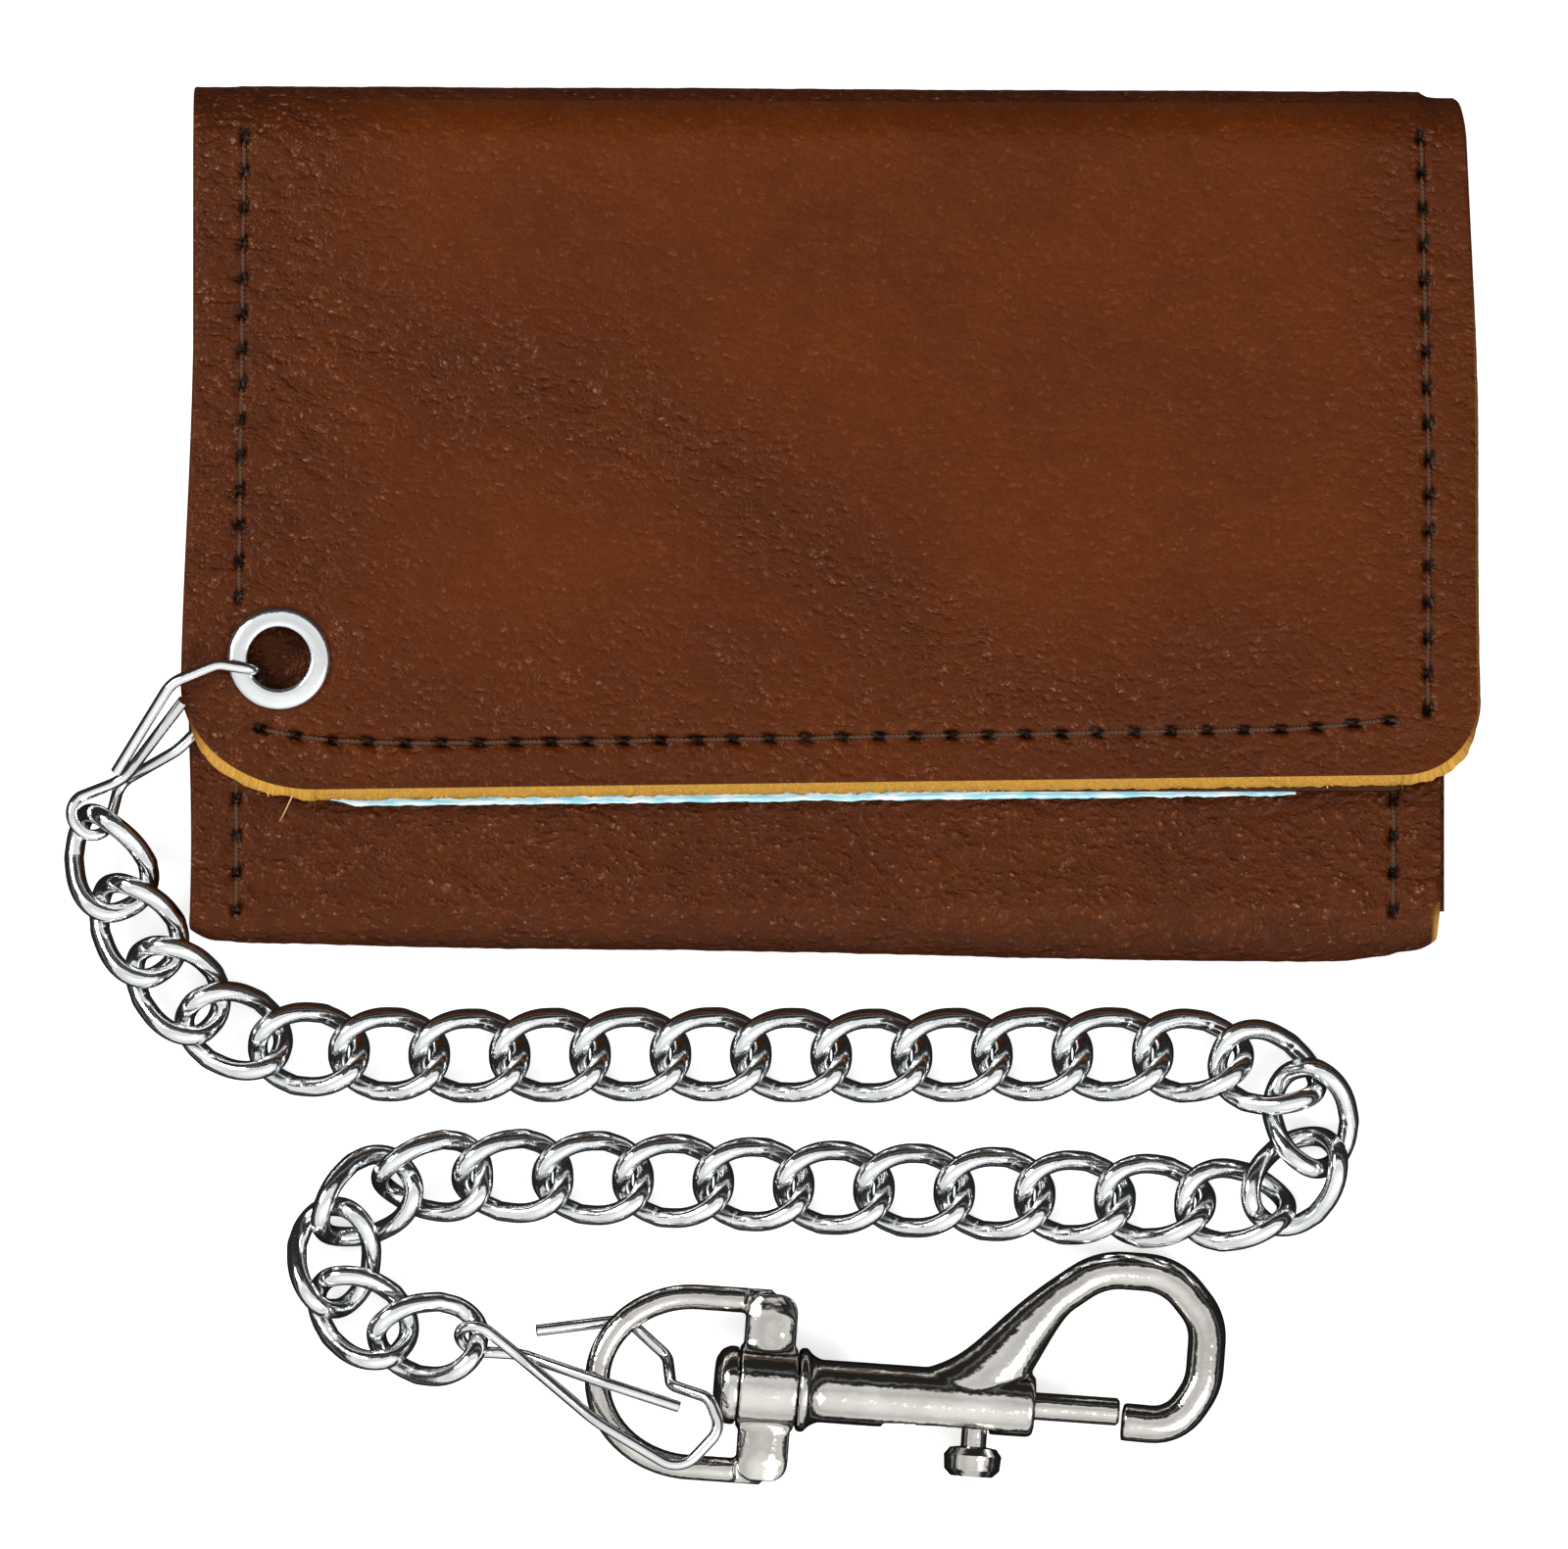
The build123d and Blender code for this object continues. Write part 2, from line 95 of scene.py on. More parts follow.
FLAP_CORNERS = (9.5, 7.0)  # radii of the flap's lower corners
PITCH = 3.22  # distance between stitch holes
FLAP_WIDTH, LOWER_WIDTH = 116, 112  # widths that the grid steps are shared out over
COARSE, FINE = 0.42, 0.22  # grid steps away from a seam and beside it
ARM_HALF, ARM_REACH = 2.3, 8.4  # half width and reach of the swivel eye's arms
COLLAR_RADIUS = 3.7
rng = np.random.default_rng(7)


# ---- shader helpers ----
class Nodes:
    """Short calls for building one material's node tree."""

    def __init__(self, name):
        self.material = bpy.data.materials.new(name)
        self.material.use_nodes = True
        self.tree = self.material.node_tree
        self.bsdf = self.tree.nodes["Principled BSDF"]

    def add(self, kind, **settings):
        node = self.tree.nodes.new(kind)
        for key, value in settings.items():
            setattr(node, key, value)
        return node

    def link(self, source, target):
        self.tree.links.new(source, target)

    def feed(self, socket, value):
        if isinstance(value, bpy.types.NodeSocket):
            self.link(value, socket)
        else:
            socket.default_value = value

    def math(self, operation, a, b=0.0, c=0.0):
        node = self.add("ShaderNodeMath", operation=operation)
        for socket, value in zip(node.inputs, (a, b, c)):
            self.feed(socket, value)
        return node.outputs[0]

    def mapped(self, value, low, high, to_low=0.0, to_high=1.0):
        node = self.add("ShaderNodeMapRange", interpolation_type="SMOOTHSTEP")
        for socket, v in zip(node.inputs, (value, low, high, to_low, to_high)):
            self.feed(socket, v)
        return node.outputs[0]

    def mix(self, factor, a, b):
        node = self.add("ShaderNodeMix", data_type="RGBA")
        self.feed(node.inputs[0], factor)
        self.feed(node.inputs[6], a if isinstance(a, bpy.types.NodeSocket) else (*a, 1))
        self.feed(node.inputs[7], b if isinstance(b, bpy.types.NodeSocket) else (*b, 1))
        return node.outputs[2]

    def noise(self, vector, scale, detail=3.0, roughness=0.55, distortion=0.0):
        node = self.add("ShaderNodeTexNoise")
        self.link(vector, node.inputs["Vector"])
        node.inputs["Scale"].default_value = scale
        node.inputs["Detail"].default_value = detail
        node.inputs["Roughness"].default_value = roughness
        node.inputs["Distortion"].default_value = distortion
        return node

    def cells(self, vector, scale, feature="F1", smoothness=0.0):
        node = self.add("ShaderNodeTexVoronoi", feature=feature)
        self.link(vector, node.inputs["Vector"])
        node.inputs["Scale"].default_value = scale
        if feature == "SMOOTH_F1":
            node.inputs["Smoothness"].default_value = smoothness
        return node.outputs["Distance"]

    def flat(self, stretch=(1.0, 1.0, 1.0), turn=0.0):
        """The sheet's own flattened coordinates, in millimetres."""
        uv = self.add("ShaderNodeUVMap", uv_map="flat")
        return self.scaled(uv.outputs[0], stretch, turn)

    def solid(self, stretch=(1.0, 1.0, 1.0)):
        """Object coordinates, in millimetres."""
        coordinates = self.add("ShaderNodeTexCoord")
        return self.scaled(coordinates.outputs["Object"], [1000 * s for s in stretch])

    def scaled(self, vector, stretch, turn=0.0):
        node = self.add("ShaderNodeMapping")
        self.link(vector, node.inputs["Vector"])
        node.inputs["Scale"].default_value = stretch
        node.inputs["Rotation"].default_value = (0, 0, math.radians(turn))
        return node.outputs[0]

    def warped(self, vector, scale, amount):
        """A vector pushed about by a slow noise, so that no pattern runs straight."""
        push = self.noise(vector, scale, 2.0)
        centred = self.add("ShaderNodeVectorMath", operation="SUBTRACT")
        self.link(push.outputs["Color"], centred.inputs[0])
        centred.inputs[1].default_value = (0.5, 0.5, 0.5)
        grown = self.add("ShaderNodeVectorMath", operation="SCALE")
        self.link(centred.outputs[0], grown.inputs[0])
        grown.inputs["Scale"].default_value = amount
        total = self.add("ShaderNodeVectorMath", operation="ADD")
        self.link(vector, total.inputs[0])
        self.link(grown.outputs[0], total.inputs[1])
        return total.outputs[0]

    def attribute(self, name):
        return self.add("ShaderNodeAttribute", attribute_name=name).outputs["Fac"]

    def bump(self, height, distance_mm, strength=1.0, under=None):
        node = self.add("ShaderNodeBump")
        self.link(height, node.inputs["Height"])
        node.inputs["Distance"].default_value = distance_mm * MM
        node.inputs["Strength"].default_value = strength
        if under is not None:
            self.link(under, node.inputs["Normal"])
        return node.outputs[0]

    def finish(self, **sockets):
        for name, value in sockets.items():
            socket = self.bsdf.inputs[name.replace("_", " ")]
            if isinstance(value, tuple) and len(value) == 3:
                value = (*value, 1)
            self.feed(socket, value)
        return self.material


RAW_HIDE = (0.52, 0.27, 0.045)


def leather_material(name, tones, highlight_tone, grain=0.8, depth=0.3, shine=0.34):
    """Pebbled cowhide with wandering creases and fine pores, painted shade in its crevices and pores,
    painted highlights on its pebble tops, and a raw cut edge.
    """
    n = Nodes(name)
    dark, middle, light = tones
    plain = n.flat()
    wandering = n.warped(n.warped(plain, 0.12, 2.2), 0.7, 0.5)
    pebbles = n.cells(n.scaled(wandering, (0.8, 1.15, 1)), 1 / grain, "SMOOTH_F1", 0.5)
    fine = n.cells(wandering, 2.1 / grain, "SMOOTH_F1", 0.4)
    creases = n.cells(n.scaled(wandering, (0.5, 1.0, 1), 28), 0.42, "DISTANCE_TO_EDGE")
    swell = n.noise(n.flat((0.6, 1.2, 1), 30), 0.42, 3.0, 0.55, 0.5).outputs[0]
    patches = n.noise(plain, 0.045, 2.0, 0.5).outputs[0]
    mottle = n.noise(plain, 0.33, 4.0, 0.6).outputs[0]
    strength = n.math("MULTIPLY", n.attribute("grain"), n.mapped(mottle, 0.3, 0.7, 0.55, 1.15))

    domes = n.mapped(pebbles, 0.62, 0.0)
    beads = n.mapped(fine, 0.6, 0.05)
    folds = n.mapped(creases, 0.0, 0.22)
    height = n.math("MULTIPLY_ADD", beads, 0.28, n.math("MULTIPLY", domes, 0.62))
    height = n.math("MULTIPLY_ADD", folds, 0.34, height)
    height = n.math("MULTIPLY_ADD", swell, 0.75, height)
    height = n.math("MULTIPLY", height, strength)
    raw_edge = n.attribute("raw")
    fibres = n.noise(n.flat((1, 0.6, 1)), 4.5, 4.0, 0.7, 1.5).outputs[0]
    height = n.math("MULTIPLY_ADD", n.math("MULTIPLY", fibres, raw_edge), 0.8, height)
    normal = n.bump(height, depth)

    # painted shade: the colour darkens in the hollows between the pebbles and along the creases
    between = n.math("SUBTRACT", 1.0, n.math("MULTIPLY", domes, folds))
    crevice_shade = n.math("MULTIPLY", between, n.math("MULTIPLY", strength, 0.75))
    # painted highlight: pebble tops lightened towards the highlight tone, strongest where the grain stands
    # up
    tops = n.math("MULTIPLY", n.mapped(pebbles, 0.46, 0.16), n.mapped(fine, 0.55, 0.15))
    scatter = n.noise(n.flat((1.0, 0.6, 1)), 1.0, 2.0).outputs[0]
    highlight_flecks = n.math("MULTIPLY", tops, n.mapped(scatter, 0.40, 0.62))
    colour = n.mix(n.mapped(patches, 0.36, 0.64), middle, light)
    colour = n.mix(n.math("MULTIPLY", n.mapped(mottle, 0.6, 0.35), 0.25), colour, dark)
    colour = n.mix(crevice_shade, colour, dark)
    # painted shade in the pores between the fine beads
    colour = n.mix(n.math("MULTIPLY", n.mapped(fine, 0.42, 0.62), 0.22), colour, dark)
    painted_highlight = n.math("MULTIPLY", highlight_flecks, n.mapped(strength, 0.3, 1.0, 0.20, 1.0))
    colour = n.mix(painted_highlight, colour, highlight_tone)
    # painted shade from the shade attribute: stitch holes and folds that turn away, and darker along the
    # flap's foot
    colour = n.mix(n.attribute("shade"), colour, tuple(0.12 * c for c in dark))
    straw = n.mix(n.mapped(fibres, 0.35, 0.65), RAW_HIDE, tuple(1.3 * c for c in RAW_HIDE))
    colour = n.mix(raw_edge, colour, straw)
    roughness = n.mapped(mottle, 0.3, 0.7, shine - 0.05, shine + 0.08)
    roughness = n.math("MULTIPLY_ADD", raw_edge, 0.4, roughness)
    return n.finish(
        Base_Color=colour,
        Roughness=roughness,
        Normal=normal,
        Specular_IOR_Level=0.15,
        Specular_Tint=(1.0, 0.78, 0.62),
    )


def metal_material(name, colour, tint, roughness=0.11, waviness=0.02, scuffs=0.25):
    """Bright plate over steel or zinc: soft ripples, faint scuffs and uneven polish."""
    n = Nodes(name)
    place = n.solid()
    cloud = n.noise(place, 0.18, 2.0).outputs[0]
    scratch = n.noise(n.solid((1, 7, 3)), 1.6, 5.0, 0.75, 0.8).outputs[0]
    ripple = n.noise(place, 0.9, 2.0, 0.5).outputs[0]
    polish = n.mapped(scratch, 0.5, 0.8, 0.0, scuffs)
    rough = n.math("MULTIPLY_ADD", polish, 0.3, n.mapped(cloud, 0.3, 0.7, roughness * 0.8, roughness * 1.5))
    normal = n.bump(ripple, waviness)
    normal = n.bump(scratch, 0.004, 1.0, normal)
    plate = n.mix(n.mapped(cloud, 0.35, 0.7), colour, tint)
    return n.finish(
        Base_Color=plate,
        Metallic=1.0,
        Roughness=rough,
        Normal=normal,
        Specular_Tint=(0.18, 0.18, 0.18),
    )


def thread_material(name, colour):
    """Waxed thread, two plies laid round each other."""
    n = Nodes(name)
    twist = n.add("ShaderNodeTexWave", wave_type="BANDS", bands_direction="DIAGONAL")
    n.link(n.solid(), twist.inputs["Vector"])
    twist.inputs["Scale"].default_value = 1.7
    twist.inputs["Distortion"].default_value = 0.8
    ply = twist.outputs["Fac"]
    shade = n.mix(ply, tuple(0.45 * c for c in colour), colour)
    return n.finish(Base_Color=shade, Roughness=0.6, Normal=n.bump(ply, 0.08))


def vinyl_material(name):
    """Clear soft vinyl, milky where its cut edge catches the light."""
    n = Nodes(name)
    cloud = n.noise(n.flat(), 0.25, 3.0).outputs[0]
    streak = n.noise(n.flat((0.3, 3, 1)), 1.2, 3.0).outputs[0]
    rim = n.attribute("raw")
    clear = n.mix(n.mapped(cloud, 0.3, 0.7), (0.62, 0.72, 0.72), (0.80, 0.87, 0.86))
    edge = n.mix(n.mapped(streak, 0.4, 0.6), (0.30, 0.72, 0.85), (0.86, 0.95, 0.97))
    roughness = n.mapped(streak, 0.3, 0.7, 0.1, 0.24)
    alpha = n.mapped(rim, 0.0, 0.6, 0.42, 1.0)
    material = n.finish(
        Base_Color=n.mix(rim, clear, edge), Roughness=roughness, Alpha=alpha, Normal=n.bump(cloud, 0.3)
    )
    material.surface_render_method = "BLENDED"
    return material


def floor_material():
    n = Nodes("studio_floor")
    cloud = n.noise(n.solid(), 0.01, 2.0).outputs[0]
    pale = n.mix(cloud, (0.86, 0.86, 0.86), (0.89, 0.89, 0.89))
    return n.finish(
        Base_Color=pale,
        Roughness=0.9,
        Emission_Color=(1, 1, 1),
        Emission_Strength=0.62,
        Specular_IOR_Level=0.1,
    )


BROWN = ((0.042, 0.0080, 0.0022), (0.106, 0.0212, 0.0024), (0.128, 0.0262, 0.0020))
INNER = ((0.024, 0.0075, 0.0030), (0.062, 0.0200, 0.0080), (0.080, 0.0280, 0.0115))
# Painted highlight tones for the pebble tops
HIGHLIGHT_OUTER = (0.30, 0.135, 0.085)
HIGHLIGHT_INNER = (0.12, 0.05, 0.025)
outer_leather = leather_material("outer_leather", BROWN, HIGHLIGHT_OUTER)
inner_leather = leather_material("inner_leather", INNER, HIGHLIGHT_INNER, grain=0.6, depth=0.06, shine=0.5)
nickel = metal_material("nickel_chain", (0.90, 0.91, 0.91), (0.82, 0.84, 0.85), 0.09)
wire_metal = metal_material("spring_wire", (0.90, 0.90, 0.90), (0.82, 0.83, 0.84), 0.11, 0.01)
eyelet_metal = metal_material("eyelet_nickel", (0.88, 0.90, 0.90), (0.80, 0.83, 0.84), 0.14, 0.03)
cast_metal = metal_material("snap_nickel", (0.70, 0.68, 0.64), (0.58, 0.56, 0.52), 0.08, 0.06, 0.2)
brown_thread = thread_material("brown_thread", (0.115, 0.042, 0.014))
clear_vinyl = vinyl_material("clear_vinyl")


# ---- mesh helpers ----
def new_piece(name, points, faces, material, body=None):
    """A smooth-shaded mesh from points in millimetres."""
    mesh = bpy.data.meshes.new(name)
    mesh.from_pydata((np.asarray(points) * MM).tolist(), [], [tuple(int(i) for i in f) for f in faces])
    mesh.update()
    mesh.shade_smooth()
    mesh.materials.append(material)
    piece = bpy.data.objects.new(name, mesh)
    bpy.context.scene.collection.objects.link(piece)
    if body:
        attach(piece, body)
    return piece


def set_value(piece, name, values):
    layer = piece.data.attributes.new(name, "FLOAT", "POINT")
    layer.data.foreach_set("value", np.asarray(values, np.float32))


def set_flat(piece, coordinates):
    """The sheet's flattened place of each vertex, as its UV map."""
    layer = piece.data.uv_layers.new(name="flat")
    corner = np.zeros(len(piece.data.loops), np.int32)
    piece.data.loops.foreach_get("vertex_index", corner)
    layer.data.foreach_set("uv", np.asarray(coordinates, np.float32)[corner].ravel())


def smooth(value, low, high):
    t = np.clip((value - low) / (high - low), 0, 1)
    return t * t * (3 - 2 * t)


def wander(x, y, size, seed=0.0):
    """Slow noise over a plane, about -1 to 1."""
    flat = np.stack([np.ravel(x) / size, np.ravel(y) / size], 1)
    found = [noise.noise(Vector((a + seed, b - seed, seed * 1.7))) for a, b in flat]
    return np.array(found).reshape(np.shape(x))


def spaced(start, end, step, fine_at=(), fine=0.2, reach=1.1):
    """Places from start to end, closer together near the places in fine_at."""
    places = [start]
    while places[-1] < end - 1e-9:
        near = any(abs(places[-1] - f) < reach for f in fine_at)
        places.append(places[-1] + (fine if near else step))
    places = np.array(places)
    return start + (places - start) * (end - start) / (places[-1] - start)


def resampled(route, pitch):
    """Points a pitch apart along a polyline."""
    route = np.array(route, float)
    lengths = np.r_[0, np.cumsum(np.linalg.norm(np.diff(route, axis=0), axis=1))]
    count = max(2, int(round(lengths[-1] / pitch)) + 1)
    at = np.linspace(0, lengths[-1], count)
    return np.stack([np.interp(at, lengths, route[:, k]) for k in range(2)], 1)


EDGE_OUT = np.array([0.05, 0.16, 0.22, 0.22, 0.16])
EDGE_DEEP = np.array([0.03, 0.14, 0.42, 0.78, 1.0])


class Sheet:
    """A closed sheet of leather with rounded cut edges, built on a grid of rows and columns.

    place(u, s) gives the outer face's point, the outward normal and the flattened place, all as arrays.
    """

    def __init__(self, columns, rows, place, thickness, raw=None, raw_width=0.98, hole=None):
        # each side of the grid gains a ring of steps that turn over the cut edge
        ring = len(EDGE_OUT)
        cu = np.r_[[0] * ring, np.arange(len(columns)), [len(columns) - 1] * ring]
        rs = np.r_[[0] * ring, np.arange(len(rows)), [len(rows) - 1] * ring]
        steps = np.r_[np.arange(ring, 0, -1), np.zeros(len(columns), int), np.arange(1, ring + 1)]
        steps_r = np.r_[np.arange(ring, 0, -1), np.zeros(len(rows), int), np.arange(1, ring + 1)]
        u, s = np.meshgrid(columns, rows)
        points, normals, flat, relief = place(u, s)
        # pushes over the edge go square to it, even where a rounded corner shears the grid
        across = np.gradient(points, axis=1)
        along = np.gradient(points, axis=0)
        across /= np.linalg.norm(across, axis=2, keepdims=True)
        along /= np.linalg.norm(along, axis=2, keepdims=True)
        square = np.cross(along, normals)
        square *= np.sign((square * across).sum(2, keepdims=True))
        across, along = square, np.cross(normals, across) * np.sign(
            (np.cross(normals, across) * along).sum(2, keepdims=True)
        )
        raised = points + normals * relief[..., None]
        pick = np.ix_(rs, cu)
        base, inner_base, n = raised[pick], points[pick], normals[pick]
        out = np.r_[0, EDGE_OUT]
        deep = np.r_[0, EDGE_DEEP]
        side = np.r_[[-1] * ring, [0] * len(columns), [1] * ring]
        side_r = np.r_[[-1] * ring, [0] * len(rows), [1] * ring]
        k_u, k_s = np.meshgrid(steps, steps_r)
        d_u, d_s = np.meshgrid(side, side_r)
        bared = np.zeros(k_s.shape) if raw is None else raw(base)
        slant = np.r_[0, 0.06, 0.30, 0.64, 0.94, 1.0] * raw_width
        ragged = 1 + 0.20 * wander(base[..., 0], base[..., 1] + k_s * 0.7, 0.8, 3.1)
        ragged = ragged + 0.16 * wander(base[..., 0], base[..., 1] + k_s * 0.4, 0.33, 6.4)
        reach_u = out[k_u] * (1 - bared) + slant[k_u] * ragged * bared
        reach_s = out[k_s] * (1 - bared) + slant[k_s] * ragged * bared
        push_u = (reach_u * d_u)[..., None] * across[pick]
        push_s = (reach_s * d_s)[..., None] * along[pick]
        depth = np.maximum(deep[k_u], deep[k_s]) * thickness
        lift = relief[pick] * (1 - np.maximum(deep[k_u], deep[k_s]))
        outer = inner_base + n * (lift - depth)[..., None] + push_u + push_s
        under = inner_base - n * thickness + push_u + push_s
        # the outer and inner layers share the outermost ring, so the sheet is closed
        edge = np.zeros(k_s.shape, bool)
        edge[0, :] = edge[-1, :] = edge[:, 0] = edge[:, -1] = True
        height, width = edge.shape
        top = np.arange(height * width).reshape(height, width)
        low = np.where(edge, top, top + height * width)
        keep = np.ones((height - 1, width - 1), bool)
        if hole is not None:
            centre, radius = hole
            gap = np.linalg.norm(base[..., :2] - centre, axis=2)
            inside = (gap < radius * 1.05) & (base[..., 2] > TOP_RADIUS)
            keep = ~(inside[:-1, :-1] | inside[1:, :-1] | inside[:-1, 1:] | inside[1:, 1:])
            used = np.zeros(inside.shape, int)
            for a, b in ((0, 0), (1, 0), (0, 1), (1, 1)):
                used[a : height - 1 + a, b : width - 1 + b] += keep
            lip = (used > 0) & (used < 4) & ~edge & (gap < radius * 1.5) & (base[..., 2] > TOP_RADIUS)
            for layer in (outer, under):
                offset = layer[lip][:, :2] - centre
                offset *= (radius / np.linalg.norm(offset, axis=1))[:, None]
                layer[lip, :2] = centre + offset
        faces = []
        jj, ii = np.nonzero(keep)
        for a, b, layer in ((0, 1, top), (1, 0, low)):
            quad = [layer[jj, ii], layer[jj, ii + 1], layer[jj + 1, ii + 1], layer[jj + 1, ii]]
            quad = np.stack(quad if layer is top else quad[::-1], 1)
            faces.append(quad)
        if hole is not None:
            faces.append(self.walls(keep, top, low))
        faces = np.concatenate(faces)
        coordinates = np.concatenate([outer.reshape(-1, 3), under.reshape(-1, 3)])
        used = np.unique(faces)
        renumber = np.zeros(len(coordinates), int)
        renumber[used] = np.arange(len(used))
        flat = flat[pick] + np.stack([out[k_u] * d_u, out[k_s] * d_s + deep[k_s] * d_s * thickness], 2)
        self.points = coordinates[used]
        self.faces = renumber[faces]
        self.flat = np.concatenate([flat.reshape(-1, 2)] * 2)[used]
        colour = bared * (np.maximum(k_s, k_u) >= 1)
        self.raw = np.concatenate([colour.ravel(), colour.ravel()])[used]

    @staticmethod
    def walls(keep, top, low):
        """Faces that join the outer and inner layers round a hole."""
        walls = []
        rows, columns = keep.shape
        for j, i in zip(*np.nonzero(~keep)):
            if 0 < i and keep[j, i - 1]:
                walls.append((top[j, i], top[j + 1, i], low[j + 1, i], low[j, i]))
            if i < columns - 1 and keep[j, i + 1]:
                walls.append((top[j + 1, i + 1], top[j, i + 1], low[j, i + 1], low[j + 1, i + 1]))
            if 0 < j and keep[j - 1, i]:
                walls.append((top[j, i + 1], top[j, i], low[j, i], low[j, i + 1]))
            if j < rows - 1 and keep[j + 1, i]:
                walls.append((top[j + 1, i], top[j + 1, i + 1], low[j + 1, i + 1], low[j + 1, i]))
        return np.array(walls)

    def piece(self, name, material, slot, shade=None):
        made = new_piece(name, self.points, self.faces, material)
        set_flat(made, self.flat)
        set_value(made, "raw", self.raw)
        set_value(made, "shade", np.zeros(len(self.points)) if shade is None else shade)
        set_value(made, "grain", grain_at(*self.points.T))
        return made


def grain_at(x, y, z):
    """How strongly the pebbles stand up: most at the sides, along slanting bands and below the flap."""
    left = 1.0 - smooth(x, flap_lo[0] + 5, flap_lo[0] + 26)
    right = 0.55 * smooth(x, flap_hi[0] - 16, flap_hi[0] - 4)
    band = np.exp(-(((y + 0.55 * x + 4 + 3 * np.sin(x / 9)) / 7.5) ** 2))
    below = 0.85 * (z < flap_lo[2] - 1)
    low = 0.55 * smooth(-y, 0, 18)
    return 0.30 + 0.70 * np.maximum.reduce([left, right, 0.75 * band, below, low])


# ---- seams ----
def seam_routes():
    """Each seam's route on the face that it is sewn through."""
    left, right = flap_lo[0] + 5.0, flap_hi[0] - 4.8
    low = flap_lo[1]
    flap_left = [(left + 0.5, TOP_LINE + 1), (left + 0.2, 10), (left, EYELET[1] + 5.6)]
    flap_bottom = [
        (EYELET[0] - 1.6, EYELET[1] - 6.3),
        (EYELET[0] + 3.4, low + 4.4),
        (EYELET[0] + 12, low + 4.1),
        (-14, low + 4.4),
        (20, low + 5.0),
        (42, low + 5.4),
        (right - 3.4, low + 6.2),
    ]
    flap_right = [(right, low + 7.2), (right + 0.1, 5), (right - 0.6, TOP_LINE + 1)]
    edge = lower_lo[0] + 4.0
    other = lower_hi[0] - 3.9
    lower_left = [(edge, BOTTOM_LINE), (edge + 0.1, lower_hi[1] - 2)]
    lower_right = [(other, BOTTOM_LINE), (other + 0.1, lower_hi[1] - 2)]
    back_left = [(back_lo[0] + 4, BOTTOM_LINE + 1), (back_lo[0] + 4, TOP_LINE - 1)]
    back_right = [(back_hi[0] - 4, BOTTOM_LINE + 1), (back_hi[0] - 4, TOP_LINE - 1)]
    return {
        "flap": [flap_left, flap_bottom, flap_right],
        "lower": [lower_left, lower_right],
        "back": [back_left, back_right],
    }


seams = {face: [resampled(r, PITCH) for r in routes] for face, routes in seam_routes().items()}


def sewn(x, y, lines):
    """How a seam draws the leather down: relief in millimetres, and how much painted shade darkens its
    holes.
    """
    relief = np.zeros(x.shape)
    dark = np.zeros(x.shape)
    for holes in lines:
        for start, end in zip(holes[:-1], holes[1:]):
            along = (end - start) / np.linalg.norm(end - start)
            dx, dy = x - start[0], y - start[1]
            run = dx * along[0] + dy * along[1]
            off = -dx * along[1] + dy * along[0]
            length = np.linalg.norm(end - start)
            beside = np.exp(-((off / 0.62) ** 2))
            within = smooth(run, -0.4, 0.1) * (1 - smooth(run, length - 0.1, length + 0.4))
            relief = np.minimum(relief, -0.16 * beside * within)
            puffed = 0.07 * np.exp(-(((np.abs(off) - 1.25) / 0.55) ** 2)) * within
            relief = np.where(relief > -0.02, np.maximum(relief, puffed), relief)
        for k, hole in enumerate(holes):
            near = holes[min(k + 1, len(holes) - 1)] - holes[max(k - 1, 0)]
            near /= np.linalg.norm(near)
            dx, dy = x - hole[0], y - hole[1]
            run = dx * near[0] + dy * near[1]
            off = -dx * near[1] + dy * near[0] + 0.12 * run
            spot = np.exp(-((run / 0.76) ** 4) - (off / 0.47) ** 4)
            relief -= 0.5 * spot
            dark = np.maximum(dark, smooth(spot, 0.15, 0.6))
    return relief, dark


def stitches(name, lines, height, up, body, replaced):
    """Short arcs of thread between neighbouring holes, each end dipping into its hole."""
    points, faces = [], []
    sides, steps = 8, 9
    for holes in lines:
        for start, end in zip(holes[:-1], holes[1:]):
            middle, half = (start + end) / 2, (end - start) / 2
            length = np.linalg.norm(half)
            along = half / length
            lean = rng.uniform(-0.05, 0.05)
            reach = (length - 0.42) / length
            first = len(points)
            for i in range(steps):
                t = -1 + 2 * i / (steps - 1)
                centre = middle + half * t * reach + np.array([-along[1], along[0]]) * lean * t
                lift = -0.08 - 0.46 * abs(t) ** 4
                radius = 0.19 * (1 - 0.35 * abs(t) ** 4)
                for k in range(sides):
                    a = 2 * math.pi * k / sides
                    sideways = math.cos(a) * radius
                    across = np.array([-along[1], along[0]]) * sideways
                    rise = up * (lift + math.sin(a) * radius * 0.75)
                    points.append([centre[0] + across[0], centre[1] + across[1], height + rise])
            for i in range(steps - 1):
                for k in range(sides):
                    a, b = first + i * sides + k, first + i * sides + (k + 1) % sides
                    quad = (a, b, b + sides, a + sides)
                    faces.append(quad if up < 0 else quad[::-1])
            for ring, order in ((first, 1), (first + (steps - 1) * sides, -1)):
                cap = [ring + k for k in range(sides)]
                faces.append(tuple(cap[:: order * (1 if up > 0 else -1)]))
    piece = new_piece(name, points, faces, brown_thread, body)
    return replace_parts(piece, replaced)


# ---- leather outer: back, top fold and flap in one hide ----
def flap_reach(y):
    """The flap's left and right edge at a height, with its rounded lower corners."""
    down = (TOP_LINE - y) / (TOP_LINE - flap_lo[1])
    left = top_lo[0] + (flap_lo[0] - top_lo[0]) * down
    right = top_hi[0] + (flap_hi[0] - top_hi[0]) * down
    for sign, radius in zip((-1, 1), FLAP_CORNERS):
        below = np.clip(radius - (y - flap_lo[1]), 0, radius)
        inset = radius - np.sqrt(np.maximum(radius**2 - below**2, 0))
        if sign < 0:
            left = left + inset * 1.25
        else:
            right = right - inset
    return left, right


